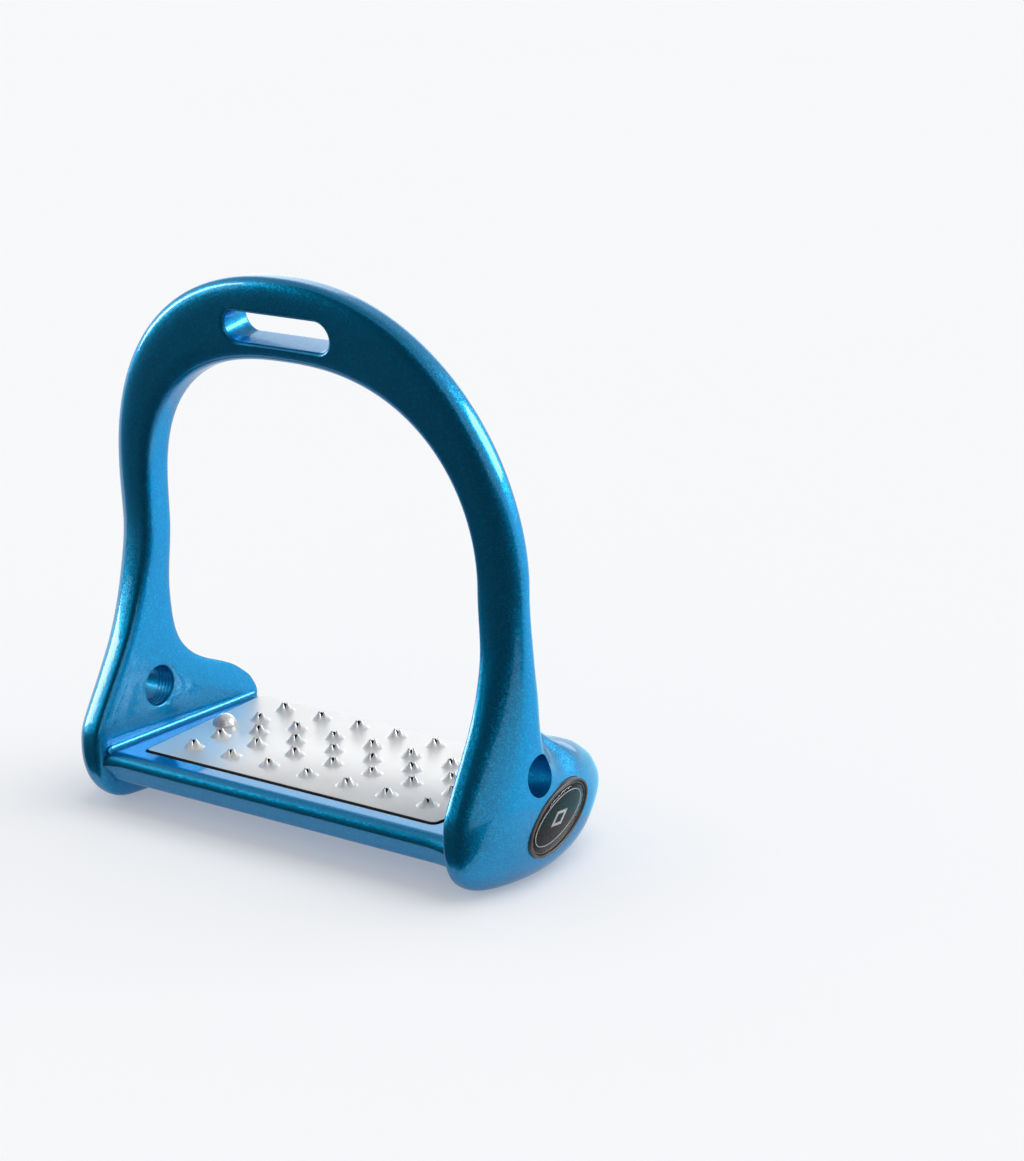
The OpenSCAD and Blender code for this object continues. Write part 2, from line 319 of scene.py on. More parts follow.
# ---------------------------------------------------------------- mesh helpers
def new_mesh(name, points, faces):
    """An object from points in millimetres."""
    mesh = bpy.data.meshes.new(name)
    mesh.from_pydata([tuple(float(v) * M for v in p) for p in points], [], faces)
    mesh.update()
    obj = bpy.data.objects.new(name, mesh)
    bpy.context.scene.collection.objects.link(obj)
    return obj


def skin(name, rings, closed_path=False, open_start=False):
    """Skin over rings that all have the same number of points: a loop of rings, or capped ends."""
    size = len(rings[0])
    count = len(rings)
    points = [p for ring in rings for p in ring]
    faces = []
    for r in range(count if closed_path else count - 1):
        a = r * size
        b = ((r + 1) % count) * size
        faces += [(a + k, a + (k + 1) % size, b + (k + 1) % size, b + k) for k in range(size)]
    if not closed_path and not open_start:
        faces.append(tuple(reversed(range(size))))
    if not closed_path:
        faces.append(tuple((count - 1) * size + k for k in range(size)))
    return new_mesh(name, points, faces)


def face_out(obj):
    """Turns every face outwards."""
    bm = bmesh.new()
    bm.from_mesh(obj.data)
    bmesh.ops.recalc_face_normals(bm, faces=bm.faces)
    bm.to_mesh(obj.data)
    bm.free()
    return obj


def apply_all(obj):
    """Replaces an object's mesh by what its modifiers make of it."""
    evaluated = obj.evaluated_get(bpy.context.evaluated_depsgraph_get())
    done = bpy.data.meshes.new_from_object(evaluated)
    old = obj.data
    obj.modifiers.clear()
    obj.data = done
    bpy.data.meshes.remove(old)
    return obj


def combine(obj, tools, operation):
    """Joins tools to obj or cuts them from it, and removes them."""
    for tool in tools:
        face_out(tool)
        modifier = obj.modifiers.new(operation, "BOOLEAN")
        modifier.object = tool
        modifier.operation = operation
        modifier.solver = "EXACT"
        bpy.context.view_layer.update()
        apply_all(obj)
        bpy.data.objects.remove(tool)
    return obj


def soften(obj, sharp_degrees=38):
    """Smooth shading that keeps the real edges crisp."""
    for face in obj.data.polygons:
        face.use_smooth = True
    obj.data.set_sharp_from_angle(angle=math.radians(sharp_degrees))
    return obj


def join(name, objects):
    """One object from several, in the given order."""
    bm = bmesh.new()
    for obj in objects:
        bm.from_mesh(obj.data)
    mesh = bpy.data.meshes.new(name)
    bm.to_mesh(mesh)
    bm.free()
    for obj in objects:
        bpy.data.objects.remove(obj)
    joined = bpy.data.objects.new(name, mesh)
    bpy.context.scene.collection.objects.link(joined)
    return joined


def turned(points, place):
    """Points in millimetres, moved by a matrix whose offset is in millimetres."""
    return [tuple(place @ Vector(p)) for p in points]


def stadium(length, height):
    """Slot outline, counter-clockwise."""
    steps = 20
    r = height / 2
    shift = length / 2 - r
    return arc(shift, 0, r, -90, 90, steps) + arc(-shift, 0, r, 90, 270, steps)


def oval(length, width):
    """Outline of an ellipse."""
    return [(length / 2 * math.cos(a), width / 2 * math.sin(a)) for a in around(OVAL_N)]


def rim_profile(rim, depth_to_far, mouths=1, steps=8):
    """(depth, growth) pairs of a cutter with one mouth, at depth 0, or two, rounded by rim."""
    bend = [math.radians(4 + 86 * i / steps) for i in range(steps + 1)]
    near = [(-3 * rim, rim)] + [(rim * (1 - math.cos(a)), rim * (1 - math.sin(a))) for a in bend]
    if mouths == 1:
        return near + [(depth_to_far, 0.0)]
    return near + [(depth_to_far - d, g) for d, g in reversed(near)]


# ---------------------------------------------------------------- casting
def arch_and_cheeks():
    """One skin from the right cheek's foot over the crown to the left cheek's foot."""
    heights = [LEG_TOP * (i / LEG_RINGS) ** FLOOR_FINE for i in range(LEG_RINGS + 1)]
    half = [leg_ring(z) for z in heights]
    half += [arch_ring(math.pi / 2 * (1 - i / ARCH_RINGS)) for i in range(1, ARCH_RINGS)]
    mirror = np.array([-1.0, 1.0, 1.0])
    return skin("arch", half + [arch_ring(0.0)] + [ring * mirror for ring in reversed(half)])


def bar_outline(grow):
    """Side outline of the crossbar, grown all round but for its deck."""
    r = BAR_EDGE_R
    low = DECK_Z - BAR_T
    return (arc(BAR_FRONT + r, DECK_Z - r - grow, r + grow, 90, 190, 18)
            + arc(BAR_FRONT + 2 * r, low + r, r + grow, 200, 270, 12)
            + arc(BAR_BACK - BACK_SLANT - r, low + r, r + grow, -90, -30, 10)
            + arc(BAR_BACK - r, DECK_Z - r, r, -30, 90, 18))


def crossbar():
    """The crossbar swells a little on its way into each cheek."""
    steps = 16
    reach = BAR_END - BAR_FILLET
    half = [(reach + BAR_FILLET * i / steps, FILLET_LIFT * (i / steps) ** 2)
            for i in range(steps + 1)]
    stations = [(-x, g) for x, g in reversed(half)] + half
    return skin("crossbar", [[(x, y, z) for y, z in bar_outline(g)] for x, g in stations])


def deck_fillet(side):
    """Concave fillet that runs front to back where the deck meets a cheek."""
    wall = INNER_W / 2
    buried = wall + 0.8
    under = DECK_Z - 1
    r = DECK_FILLET
    steps = 8
    turns = [math.radians(6 + 78 * i / steps) for i in range(steps + 1)]
    bend = [(wall - r + r * math.sin(a), DECK_Z + r * (1 - math.cos(a))) for a in turns]
    outline = [(buried, under), (wall - r, under)] + bend + [(buried, bend[-1][1])]
    front = BAR_FRONT + BAR_EDGE_R
    back = BAR_BACK - BAR_EDGE_R + 1.2
    # It drops over the bar's rounded nose: how far past the deck's front, and how low.
    nose = ((2.2, 1.0), (1.5, 0.45), (0.6, 0.1), (0.0, 0.0))
    stations = [(front - past, drop) for past, drop in nose] + [(back, 0.0)]
    rings = [[(side * x, y, z - drop) for x, z in outline] for y, drop in stations]
    return skin("deck_fillet", rings)


def slot_cutter():
    """Cutter of the leather slot, square to the leaning arch, with a rounded rim on both faces."""
    face_y = curve(NOSE, LEG_TOP) - leaning(SLOT_Z - LEG_TOP)
    place = Matrix.Translation((0, face_y, SLOT_Z)) @ Matrix.Rotation(LEAN, 4, "X")
    depth = ARCH_T * math.cos(LEAN)
    rings = [turned([(x, d, z) for x, z in stadium(SLOT_L + 2 * g, SLOT_H + 2 * g)], place)
             for d, g in rim_profile(SLOT_RIM, depth, mouths=2)]
    return skin("slot", rings)


def hole_cutter(side):
    """Cutter of a cheek's hole, with a small rim and some turned grooves where it opens inside."""
    groove = ((0, 0), (GROOVE_SLOPE, GROOVE_DEPTH), (GROOVE_FLAT_END, GROOVE_DEPTH), (GROOVE_W, 0))
    grooves = [(start + step, depth) for start in GROOVE_STARTS for step, depth in groove]
    rim = rim_profile(HOLE_RIM, HOLE_REACH)
    rings = []
    for d, g in rim[:-1] + grooves + rim[-1:]:
        r = HOLE_D / 2 + g
        rings.append([(side * (INNER_W / 2 + d), HOLE_Y + r * math.cos(a), HOLE_Z + r * math.sin(a))
                      for a in around(72)])
    return skin("hole", rings)


def plate_side(y, inset):
    """Where the tread plate's slanted side is at y, moved in by inset."""
    spread_out = (y - PLATE_FRONT) * math.tan(PLATE_FLARE)
    return PLATE_FRONT_L / 2 + spread_out - inset / math.cos(PLATE_FLARE)


def plate_outline(gap):
    """The tread plate's outline, wider at the back, grown all round by a gap."""
    steps = 8
    r = PLATE_CORNER
    near = PLATE_FRONT + r
    far = PLATE_BACK - r
    flare = math.degrees(PLATE_FLARE)
    half = (arc(plate_side(near, r), near, r + gap, -90, -flare, steps)
            + arc(plate_side(far, r), far, r + gap, -flare, 90, steps))
    return half + [(-x, y) for x, y in reversed(half)]


def recess_cutter():
    """Cutter of the tread plate's recess, its rim very slightly rounded."""
    rim = 0.25
    rings = [[(x, y, DECK_Z - d) for x, y in plate_outline(PLATE_GAP + g)]
             for d, g in rim_profile(rim, PLATE_T + PAD_T - PLATE_PROUD, steps=4)]
    return skin("recess", rings)


def rivet_cutter(side):
    """Cutter of a rivet's hole, countersunk underneath."""
    low = DECK_Z - BAR_T
    sunk = RIVET_R + RIVET_SINK + RIVET_PLAY
    hole = RIVET_R + RIVET_PLAY
    profile = [(low - 1, sunk), (low, sunk), (low + RIVET_SINK, hole), (DECK_Z + 1, hole)]
    return skin("rivet_hole", lathe(side * RIVET_X, RIVET_Y, profile, 48))


def badge_place(side):
    """Matrix that lays a badge piece on its cheek: its X along the badge, its Z straight out."""
    place = (Matrix.Translation(BADGE_AT) @ Matrix.Rotation(BADGE_TURN, 4, "Z")
             @ Matrix.Rotation(BADGE_TILT, 4, "X") @ Matrix.Rotation(math.pi / 2, 4, "Z")
             @ Matrix.Rotation(math.pi / 2, 4, "X"))
    if side < 0:
        return Matrix.Scale(-1, 4, (1, 0, 0)) @ place
    return place


def badge_rings(side, profile):
    """Rings of a badge piece from (height, inset) pairs, inset being from the badge's outline."""
    place = badge_place(side)
    return [turned([(x, y, h) for x, y in oval(BADGE_L - 2 * inset, BADGE_W - 2 * inset)], place)
            for h, inset in profile]


def pocket_cutter(side):
    """Cutter of a badge's pocket, a little wider than the badge."""
    rim = 0.35
    gap = 0.1
    profile = [(-d, -gap - g) for d, g in rim_profile(rim, BEZEL_T + GLUE_T, steps=5)]
    return skin("pocket", badge_rings(side, profile))


def frame_casting():
    """The casting with its slot, recess, holes and pockets cut."""
    casting = face_out(arch_and_cheeks())
    combine(casting, [crossbar(), deck_fillet(1), deck_fillet(-1)], "UNION")
    cutters = [slot_cutter(), recess_cutter()]
    for side in (1, -1):
        cutters += [hole_cutter(side), pocket_cutter(side), rivet_cutter(side)]
    combine(casting, cutters, "DIFFERENCE")
    casting.name = "casting_skin"
    return soften(casting)


# ---------------------------------------------------------------- tread
def plate_sheet():
    """The flat sheet, its sheared sides painted near black as shade and its top edge just broken.
    """
    bevel = 0.08
    profile = [(TREAD_Z - PLATE_T, 0.0), (TREAD_Z - bevel, 0.0), (TREAD_Z, bevel)]
    rings = [[(x, y, z) for x, y in plate_outline(-inset)] for z, inset in profile]
    sheet = face_out(skin("sheet", rings))
    for face in sheet.data.polygons:
        # Side faces take the near-black painted shade material.
        face.material_index = 1 if abs(face.normal.z) < 0.9 else 0
    return sheet


def tooth(x, y, rng):
    """A punched tooth: sheet drawn up into a tent with a hole and a torn crown of three petals.

    The petal opposite the foremost notch is bent low. The bore is painted dark as shade, as the
    sheet's sides are.
    """
    turn = TOOTH_TURN + rng.uniform(-0.2, 0.2)
    tall = TOOTH_H * rng.uniform(0.94, 1.0)
    uneven = [rng.uniform(0.86, 1.0), rng.uniform(0.6, 0.74), rng.uniform(0.86, 1.0)]
    angles = around(TOOTH_AROUND)
    sink = 0.02

    def rim(a):
        """Height and radius of the crown at an angle: both are largest in the middle of a petal."""
        petal = ((a - turn) / (2 * math.pi) * TOOTH_PETALS) % TOOTH_PETALS
        away = abs(petal % 1 - 0.5) * 2
        height = tall * uneven[int(petal)] * (1 - NOTCH_DEPTH * away ** NOTCH_SHARPNESS)
        return height, TOOTH_CROWN_R * (1.05 - 0.1 * away ** 2)

    rings = []
    for i in range(TOOTH_RISE + 1):
        t = i / TOOTH_RISE
        ring = []
        for a in angles:
            top, crown = rim(a)
            r = mix(TOOTH_BASE_R, crown, t)
            z = TREAD_Z - sink + (top + sink) * t ** TOOTH_FLARE
            ring.append((x + r * math.cos(a), y + r * math.sin(a), z))
        rings.append(ring)
    bottom = TREAD_Z - PLATE_T + 0.2
    for drop, share in TOOTH_BORE:
        r = TOOTH_CROWN_R * share
        rings.append([(x + r * math.cos(a), y + r * math.sin(a),
                       max(TREAD_Z + rim(a)[0] - drop, bottom)) for a in angles])
    obj = skin("tooth", rings, open_start=True)
    for face in obj.data.polygons:
        # Bore faces take the near-black painted shade material.
        face.material_index = 1 if face.index >= TOOTH_RISE * TOOTH_AROUND else 2
    return obj


def tooth_places():
    """Four rows of seven teeth, and six between the rivets in the middle row."""
    places = [(i * TOOTH_PITCH, TREAD_Y + row)
              for row in (-ROW_FAR, -ROW_NEAR, ROW_NEAR, ROW_FAR) for i in range(-3, 4)]
    return places + [((i - 2.5) * TOOTH_PITCH, TREAD_Y) for i in range(6)]


def tread_plate():
    """The toothed plate: face index 0 is the sheet, 1 its sides and bores painted dark as shade, 2
    the teeth.
    """
    rng = random.Random(34)
    teeth = [tooth(x, y, rng) for x, y in tooth_places()]
    return soften(join("tread_plate_skin", [plate_sheet()] + teeth), 50)


def rivet(side):
    """Lathed rivet: a dome head with a tight rounded foot, a shank and a countersunk tail."""
    low = DECK_Z - BAR_T
    ball = (RIVET_HEAD_R ** 2 + RIVET_HEAD_H ** 2) / (2 * RIVET_HEAD_H)
    widest = math.asin(min(1.0, RIVET_HEAD_R / ball))
    profile = [(low, 0.0), (low, RIVET_R + RIVET_SINK), (low + RIVET_SINK, RIVET_R),
               (TREAD_Z, RIVET_R), (TREAD_Z, RIVET_HEAD_R - 0.2), (TREAD_Z + 0.08, RIVET_HEAD_R)]
    foot = TREAD_Z + 0.1
    steps = 20
    for i in range(steps + 1):
        a = mix(widest, 0, i / steps)
        z = TREAD_Z + RIVET_HEAD_H - ball + ball * math.cos(a)
        if z > foot:
            profile.append((z, ball * math.sin(a)))
    return face_out(skin("rivet", lathe(side * RIVET_X, RIVET_Y, profile, 64)))


# ---------------------------------------------------------------- badges
def bead(height, lift, middle, half, steps):
    """Rounded bead on the ring as (height, inset) pairs, from its outer edge to its inner one."""
    return [(height * math.sin(a) + lift, middle - half * math.cos(a))
            for a in [math.pi * i / steps for i in range(steps + 1)]]


def bezel(side):
    """Moulded ring: a round outer bead, a groove, an inner bead and a flange under the film."""
    low = -BEZEL_T
    seat = low + DISC_T
    flange = BEZEL_W + 3
    profile = [(low, 0.0)] + bead(0.42, -0.05, 0.45, 0.45, 10) + [(-0.42, 0.95)]
    profile += bead(0.26, -0.30, 1.32, 0.32, 8) + [(seat, BEZEL_W), (seat, flange), (low, flange)]
    ring = skin("badge_bezel_" + name_of(side) + "_skin", badge_rings(side, profile), True)
    return soften(face_out(ring), 50)


def scaled_rings(side, profile, edge):
    """Rings of ovals that shrink towards the badge's middle, from (height, scale) pairs."""
    place = badge_place(side)
    outline = oval(BADGE_L - 2 * edge, BADGE_W - 2 * edge)
    return [turned([(x * scale, y * scale, h) for x, y in outline], place) for h, scale in profile]


def disc(side):
    """The printed film: a plain black oval."""
    top = 2 * DISC_T - BEZEL_T
    profile = [(top - DISC_T, 0.05), (top - DISC_T, 1.0), (top, 1.0), (top, 0.6), (top, 0.05)]
    rings = scaled_rings(side, profile, BEZEL_W + 0.05)
    return soften(face_out(skin("badge_disc_" + name_of(side) + "_skin", rings)), 30)


def emblem(side):
    """Plain inlay on the film: a thin oval line and a small lozenge, of no one's design."""
    low = 2 * DISC_T - BEZEL_T
    top = low + INK_LIFT
    profile = [(low, LINE_OUTER), (top, LINE_OUTER), (top, LINE_INNER), (low, LINE_INNER)]
    parts = [face_out(skin("line", badge_rings(side, profile), True))]
    place = badge_place(side)
    outline = [(LOZENGE_L, 0), (0, LOZENGE_W), (-LOZENGE_L, 0), (0, -LOZENGE_W)]
    open_middle = 0.6
    rings = [turned([(x * s, y * s, h) for x, y in outline], place)
             for h, s in ((low, 1.0), (top, 1.0), (top, open_middle), (low, open_middle))]
    parts.append(face_out(skin("lozenge", rings, True)))
    return soften(join("badge_emblem_" + name_of(side), parts), 30)


def dome(side):
    """Lens of clear resin that fills the ring."""
    base = 2 * DISC_T - BEZEL_T - 0.05
    shoulder = -0.35
    tip = 0.02
    steps = 20
    profile = [(base, 0.05), (base, 1.0), (shoulder, 1.0)]
    for i in range(1, steps + 1):
        a = i / steps * (math.pi / 2)
        profile.append((shoulder + (DOME_RISE - shoulder) * math.sin(a), max(math.cos(a), tip)))
    rings = scaled_rings(side, profile, BEZEL_W - 0.1)
    return soften(face_out(skin("badge_dome_" + name_of(side) + "_skin", rings)), 60)


def name_of(side):
    """The word for a side in a node's name."""
    return "right" if side > 0 else "left"


# ---------------------------------------------------------------- materials
def node_material(name):
    """A new material's node tree, its shader and its object-space coordinate."""
    material = bpy.data.materials.new(name)
    material.use_nodes = True
    tree = material.node_tree
    shader = tree.nodes["Principled BSDF"]
    where = tree.nodes.new("ShaderNodeTexCoord").outputs["Object"]
    return material, tree, shader, where


def noise(tree, where, scale, detail=3.0, roughness=0.5):
    """Soft 0 to 1 noise over a coordinate."""
    node = tree.nodes.new("ShaderNodeTexNoise")
    node.inputs["Scale"].default_value = scale
    node.inputs["Detail"].default_value = detail
    node.inputs["Roughness"].default_value = roughness
    tree.links.new(where, node.inputs["Vector"])
    return node.outputs["Fac"]


def ramp(tree, factor, stops):
    """Colour ramp from (position, colour) stops."""
    node = tree.nodes.new("ShaderNodeValToRGB")
    elements = node.color_ramp.elements
    while len(elements) < len(stops):
        elements.new(0.5)
    for element, (position, colour) in zip(elements, stops):
        element.position = position
        element.color = (*colour, 1.0)
    tree.links.new(factor, node.inputs["Fac"])
    return node.outputs["Color"]


def spread(tree, factor, low, high):
    """Maps a 0 to 1 factor onto a range."""
    node = tree.nodes.new("ShaderNodeMapRange")
    node.inputs["To Min"].default_value = low
    node.inputs["To Max"].default_value = high
    tree.links.new(factor, node.inputs["Value"])
    return node.outputs["Result"]


def bump(tree, height, distance, strength=1.0):
    """Normal of a relief whose full height is a distance in metres."""
    node = tree.nodes.new("ShaderNodeBump")
    node.inputs["Strength"].default_value = strength
    node.inputs["Distance"].default_value = distance
    tree.links.new(height, node.inputs["Height"])
    return node.outputs["Normal"]


def flakes(tree, where, scale, tilt):
    """Metal flakes: the normal of small cells, each tipped its own way, and each cell's value."""
    cells = tree.nodes.new("ShaderNodeTexVoronoi")
    cells.inputs["Scale"].default_value = scale
    tree.links.new(where, cells.inputs["Vector"])
    centre = tree.nodes.new("ShaderNodeVectorMath")
    centre.operation = "SUBTRACT"
    centre.inputs[1].default_value = (0.5, 0.5, 0.5)
    tree.links.new(cells.outputs["Color"], centre.inputs[0])
    tip = tree.nodes.new("ShaderNodeVectorMath")
    tip.operation = "MULTIPLY_ADD"
    tip.inputs[1].default_value = (tilt, tilt, tilt)
    tree.links.new(centre.outputs[0], tip.inputs[0])
    tree.links.new(tree.nodes.new("ShaderNodeNewGeometry").outputs["Normal"], tip.inputs[2])
    unit = tree.nodes.new("ShaderNodeVectorMath")
    unit.operation = "NORMALIZE"
    tree.links.new(tip.outputs[0], unit.inputs[0])
    split = tree.nodes.new("ShaderNodeSeparateColor")
    tree.links.new(cells.outputs["Color"], split.inputs["Color"])
    return unit.outputs[0], split.outputs[0]


def casting_paint():
    """Metallic blue with fine flake under a gloss clear coat that has a faint orange peel."""
    material, tree, shader, where = node_material("casting_paint")
    normal, cell = flakes(tree, where, 3400.0, 0.16)
    tree.links.new(normal, shader.inputs["Normal"])
    deep = (0.0, 0.21, 0.46)
    blue = (0.0, 0.265, 0.54)
    spark = (0.0, 0.38, 0.68)
    colour = ramp(tree, cell, [(0.0, deep), (0.8, blue), (1.0, spark)])
    tree.links.new(colour, shader.inputs["Base Color"])
    tree.links.new(spread(tree, noise(tree, where, 90.0), 0.33, 0.43), shader.inputs["Roughness"])
    peel = bump(tree, noise(tree, where, 260.0, 2.0), 0.00002)
    tree.links.new(peel, shader.inputs["Coat Normal"])
    shader.inputs["Metallic"].default_value = 0.92
    shader.inputs["Coat Weight"].default_value = 0.85
    shader.inputs["Coat Roughness"].default_value = 0.08
    shader.inputs["Coat IOR"].default_value = 1.45
    shader.inputs["Specular Tint"].default_value = (0.3, 0.5, 0.62, 1.0)
    return material


def sheet_steel(name, rough_low, rough_high):
    """Stainless sheet with rolling grain and faint smudges."""
    material, tree, shader, where = node_material(name)
    stretch = tree.nodes.new("ShaderNodeMapping")
    stretch.inputs["Scale"].default_value = (0.08, 1.0, 1.0)
    tree.links.new(where, stretch.inputs["Vector"])
    grain = noise(tree, stretch.outputs["Vector"], 2400.0, 2.0)
    smudge = noise(tree, where, 55.0, 4.0, 0.6)
    tone = ramp(tree, smudge, [(0.3, (0.66, 0.67, 0.68)), (0.7, (0.74, 0.745, 0.75))])
    tree.links.new(tone, shader.inputs["Base Color"])
    tree.links.new(spread(tree, smudge, rough_low, rough_high), shader.inputs["Roughness"])
    tree.links.new(bump(tree, grain, 0.00001, 0.6), shader.inputs["Normal"])
    shader.inputs["Metallic"].default_value = 0.48
    return material


def painted_shade_steel():
    """Painted shade on the sheet's sheared sides and inside each tooth: near-black steel, mottled.
    """
    material, tree, shader, where = node_material("painted_shade_steel")
    shade_mottle = noise(tree, where, 1500.0, 3.0)
    # Painted shade: near-black tones for the shade along the plate's gap and inside each tooth's
    # bore.
    tone = ramp(tree, shade_mottle, [(0.3, (0.008, 0.008, 0.010)), (0.75, (0.03, 0.03, 0.034))])
    tree.links.new(tone, shader.inputs["Base Color"])
    tree.links.new(spread(tree, shade_mottle, 0.6, 0.85), shader.inputs["Roughness"])
    shader.inputs["Metallic"].default_value = 0.2
    shader.inputs["Specular IOR Level"].default_value = 0.2
    return material


def rivet_steel():
    """Polished stainless with fine wear."""
    material, tree, shader, where = node_material("rivet_steel")
    wear = noise(tree, where, 700.0, 3.0)
    tone = ramp(tree, wear, [(0.3, (0.78, 0.79, 0.80)), (0.7, (0.88, 0.88, 0.89))])
    tree.links.new(tone, shader.inputs["Base Color"])
    tree.links.new(spread(tree, wear, 0.22, 0.32), shader.inputs["Roughness"])
    shader.inputs["Metallic"].default_value = 0.65
    return material


def dull_material(name, dark, light, rough_low, rough_high, scale, relief):
    """Plastic, rubber, ink or glue: mottled tone, uneven roughness and a fine relief."""
    material, tree, shader, where = node_material(name)
    mottle = noise(tree, where, scale, 4.0)
    tree.links.new(ramp(tree, mottle, [(0.3, dark), (0.7, light)]), shader.inputs["Base Color"])
    tree.links.new(spread(tree, mottle, rough_low, rough_high), shader.inputs["Roughness"])
    tree.links.new(bump(tree, noise(tree, where, scale * 3), relief), shader.inputs["Normal"])
    return material


def dome_resin():
    """Clear resin with a very faint swirl in its gloss."""
    material, tree, shader, where = node_material("dome_resin")
    swirl = noise(tree, where, 120.0, 2.0)
    tone = ramp(tree, swirl, [(0.3, (0.93, 0.94, 0.95)), (0.7, (1.0, 1.0, 1.0))])
    tree.links.new(tone, shader.inputs["Base Color"])
    tree.links.new(spread(tree, swirl, 0.0, 0.05), shader.inputs["Roughness"])
    shader.inputs["Transmission Weight"].default_value = 1.0
    shader.inputs["IOR"].default_value = 1.3
    return material


def floor_finish():
    """Matt white sheet that glows a little, as a lit table does."""
    material, tree, shader, where = node_material("studio_floor")
    mottle = noise(tree, where, 3.0)
    tone = ramp(tree, mottle, [(0.0, (0.665, 0.667, 0.67)), (1.0, (0.675, 0.675, 0.675))])
    tree.links.new(tone, shader.inputs["Base Color"])
    shader.inputs["Roughness"].default_value = 0.75
    shader.inputs["Emission Color"].default_value = (0.93, 0.95, 1.0, 1.0)
    shader.inputs["Emission Strength"].default_value = 0.30
    shader.inputs["Specular IOR Level"].default_value = 0.0
    return material


def give(obj, material):
    """Makes a material an object's only one."""
    obj.data.materials.clear()
    obj.data.materials.append(material)
    return obj


# ---------------------------------------------------------------- pieces
def place_piece(obj, slot, *nodes):
    """A finished piece rides on the one body and stands for the CAD nodes named."""
    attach(obj, "root")
    if nodes:
        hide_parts(*nodes)
    return obj


def build_tread():
    """The plate on its pad, in three metals that its faces' indices pick, and the rivets."""
    tread = tread_plate()
    sheet = sheet_steel("tread_steel", 0.36, 0.46)
    # Painted shade: near-black steel for the sheet's sides and the teeth's bores.
    painted_shade = painted_shade_steel()
    teeth = sheet_steel("tooth_steel", 0.26, 0.36)
    for metal in (sheet, painted_shade, teeth):
        tread.data.materials.append(metal)
    place_piece(tread, "tread_steel", "tread_plate")
    rivets = soften(join("tread_rivets_skin", [rivet(1), rivet(-1)]), 50)
    place_piece(give(rivets, rivet_steel()), "rivet_steel", "tread_rivets")
    rubber = dull_material("bedding_rubber", (0.012, 0.012, 0.013), (0.03, 0.03, 0.032),
                           0.6, 0.85, 400.0, 0.00003)
    give(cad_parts["tread_bedding_pad"], rubber)


def build_badges():
    """Both badges. The emblem stands for no CAD node of its own."""
    bezel_plastic = dull_material("bezel_plastic", (0.035, 0.028, 0.027), (0.075, 0.06, 0.057),
                                  0.22, 0.38, 260.0, 0.00002)
    film = dull_material("disc_print", (0.003, 0.003, 0.004), (0.008, 0.008, 0.009),
                         0.35, 0.5, 300.0, 0.000003)
    film.node_tree.nodes["Principled BSDF"].inputs["Specular IOR Level"].default_value = 0.1
    ink = dull_material("emblem_ink", (0.42, 0.43, 0.45), (0.55, 0.56, 0.58),
                        0.25, 0.4, 300.0, 0.00001)
    resin = dome_resin()
    glue = dull_material("badge_adhesive", (0.38, 0.38, 0.35), (0.5, 0.5, 0.47),
                         0.6, 0.8, 500.0, 0.00003)
    for side in (1, -1):
        end = name_of(side)
        place_piece(give(bezel(side), bezel_plastic), "bezel_plastic", "badge_bezel_" + end)
        place_piece(give(disc(side), film), "disc_print", "badge_disc_" + end)
        place_piece(give(emblem(side), ink), "disc_print")
        place_piece(give(dome(side), resin), "dome_resin", "badge_dome_" + end)
        give(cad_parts["badge_adhesive_" + end], glue)


# ---------------------------------------------------------------- studio
def area_light(name, place, size, watts, tilt=0.0, colour=(1.0, 1.0, 1.0)):
    """A soft box, its place in metres, that faces the iron and is tilted by some degrees."""
    data = bpy.data.lights.new(name, "AREA")
    data.shape = "RECTANGLE"
    data.size, data.size_y = size
    data.energy = watts
    data.color = colour
    obj = bpy.data.objects.new(name, data)
    bpy.context.scene.collection.objects.link(obj)
    obj.location = place
    obj.visible_diffuse = False
    aim = Vector((0, 0, 0.05))
    facing = (aim - Vector(place)).to_track_quat("-Z", "Y").to_matrix()
    obj.rotation_euler = (facing @ Matrix.Rotation(math.radians(tilt), 3, "Z")).to_euler()
    return obj


def studio_world():
    """Plain pale surroundings, bright near the horizon and dimmer overhead."""
    world = bpy.data.worlds.new("studio")
    bpy.context.scene.world = world
    world.use_nodes = True
    tree = world.node_tree
    background = tree.nodes["Background"]
    split = tree.nodes.new("ShaderNodeSeparateXYZ")
    where = tree.nodes.new("ShaderNodeTexCoord").outputs["Generated"]
    tree.links.new(where, split.inputs["Vector"])
    horizon = (1.0, 1.0, 1.0)
    halfway = (0.95, 0.95, 0.95)
    overhead = (0.40, 0.41, 0.42)
    tone = ramp(tree, split.outputs["Z"], [(0.0, horizon), (0.5, halfway), (1.0, overhead)])
    tree.links.new(tone, background.inputs["Color"])
    background.inputs["Strength"].default_value = 0.8


def add_card(name, corners, glow=0.0):
    """Card seen only in reflections: black, as a studio flag is, or glowing pale blue."""
    black = dull_material(name + "_face", (0.01, 0.012, 0.015), (0.02, 0.022, 0.026),
                          0.9, 1.0, 20.0, 0.0001)
    shader = black.node_tree.nodes["Principled BSDF"]
    shader.inputs["Emission Color"].default_value = (0.4, 0.85, 1.0, 1.0)
    shader.inputs["Emission Strength"].default_value = glow
    card = give(new_mesh(name, corners, [(0, 1, 2, 3)]), black)
    card.visible_camera = False
    card.visible_shadow = False
    card.visible_diffuse = False
    card.visible_transmission = False


def level_card(name, left, right, front, back, glow=0.0):
    """Card that lies just over the floor."""
    outline = ((left, front), (right, front), (right, back), (left, back))
    add_card(name, [(x, y, 1) for x, y in outline], glow)


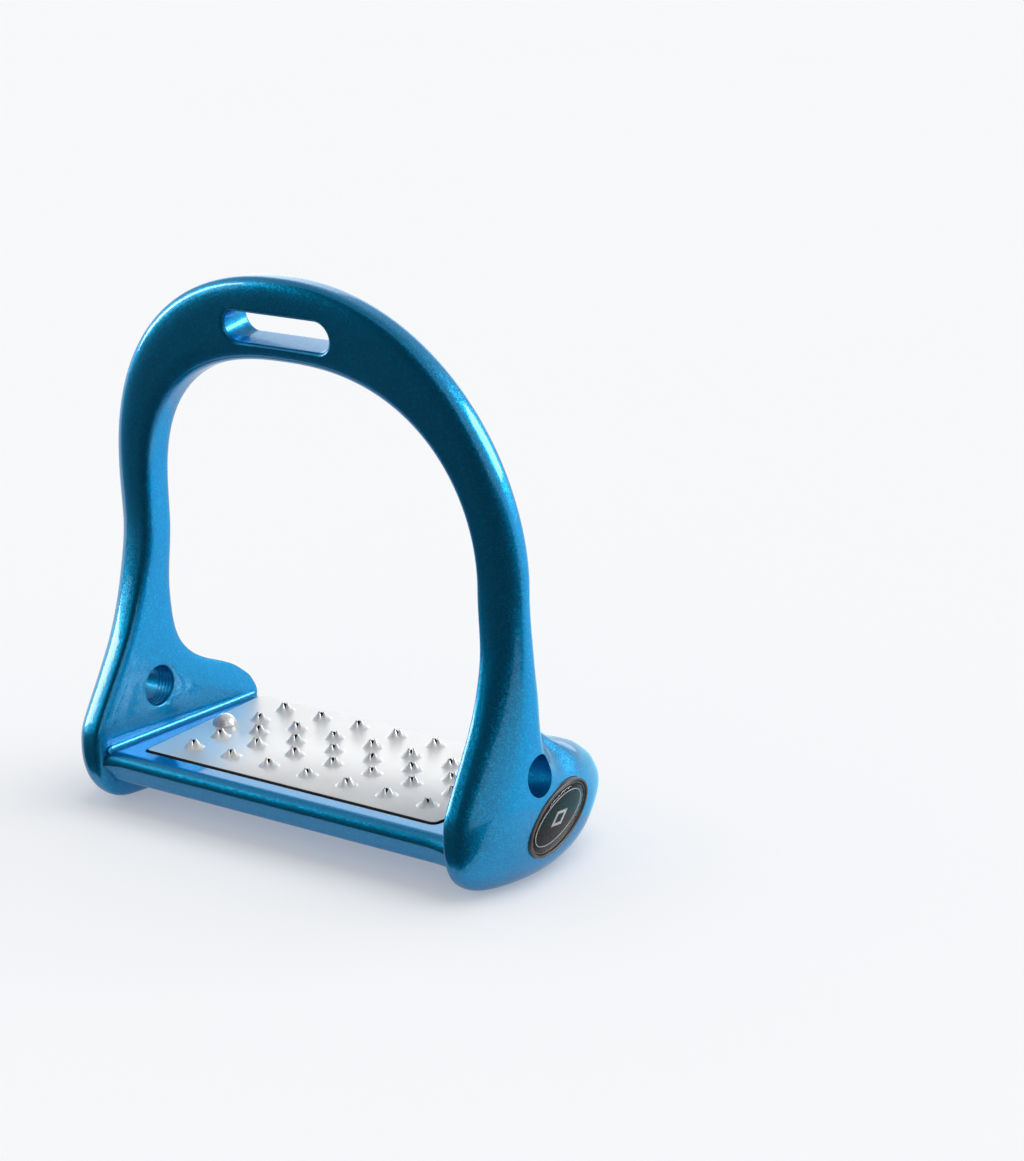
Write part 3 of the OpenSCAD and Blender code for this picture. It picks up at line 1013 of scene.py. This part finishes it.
def studio():
    """Floor, cards that the paint mirrors, surroundings, an overhead light and soft boxes."""
    span = 9000.0
    corners = [(-span, -span, 0), (span, -span, 0), (span, span, 0), (-span, span, 0)]
    floor = new_mesh("floor", corners, [(0, 1, 2, 3)])
    give(floor, floor_finish())
    wide = 1600.0
    tall = 2 * wide
    level_card("floor_card", -wide, wide, -wide, -40.0)
    front = [(-wide, -wide, 0), (wide, -wide, 0), (wide, -wide, tall), (-wide, -wide, tall)]
    add_card("front_card", front)
    level_card("back_card", -45.0, wide, 40.0, wide, 1.3)
    studio_world()
    sun = bpy.data.lights.new("overhead", "SUN")
    sun.energy = 1.35
    sun.angle = math.radians(60)
    overhead = bpy.data.objects.new("overhead", sun)
    bpy.context.scene.collection.objects.link(overhead)
    overhead.rotation_euler = (math.radians(-14), math.radians(18), 0)
    overhead.visible_glossy = False
    area_light("left_strip", (-0.86, -0.36, 0.26), (0.68, 0.16), 4.0, 31, (1.0, 0.74, 0.64))
    area_light("back_right_box", (0.66, 0.62, 0.43), (0.5, 0.35), 5.0)
    area_light("back_left_box", (-1.10, 1.50, 0.60), (2.2, 1.1), 9.0)


def camera():
    """The camera: where it stands, in metres, which way it looks and how long its lens is."""
    azimuth = math.radians(35.804)
    elevation = math.radians(15.859)
    roll = math.radians(-0.272)
    stands = Vector((0.4909, -0.5982, 0.2895))
    sensor = 36.0
    lens = 89.92248
    flat = math.cos(elevation)
    back = Vector((math.sin(azimuth) * flat, -math.cos(azimuth) * flat, math.sin(elevation)))
    right = Vector((math.cos(azimuth), math.sin(azimuth), 0))
    up = back.cross(right)
    turn = Matrix((right * math.cos(roll) + up * math.sin(roll),
                   up * math.cos(roll) - right * math.sin(roll), back)).transposed()
    data = bpy.data.cameras.new("camera")
    data.sensor_width = sensor
    data.lens = lens
    data.clip_start = 0.01
    data.clip_end = 50.0
    obj = bpy.data.objects.new("camera", data)
    bpy.context.scene.collection.objects.link(obj)
    obj.matrix_world = Matrix.Translation(stands) @ turn.to_4x4()
    bpy.context.scene.camera = obj


bpy.context.scene.view_settings.view_transform = "Standard"
place_piece(give(frame_casting(), casting_paint()), "casting_paint", "frame_casting")
build_tread()
build_badges()
studio()
camera()
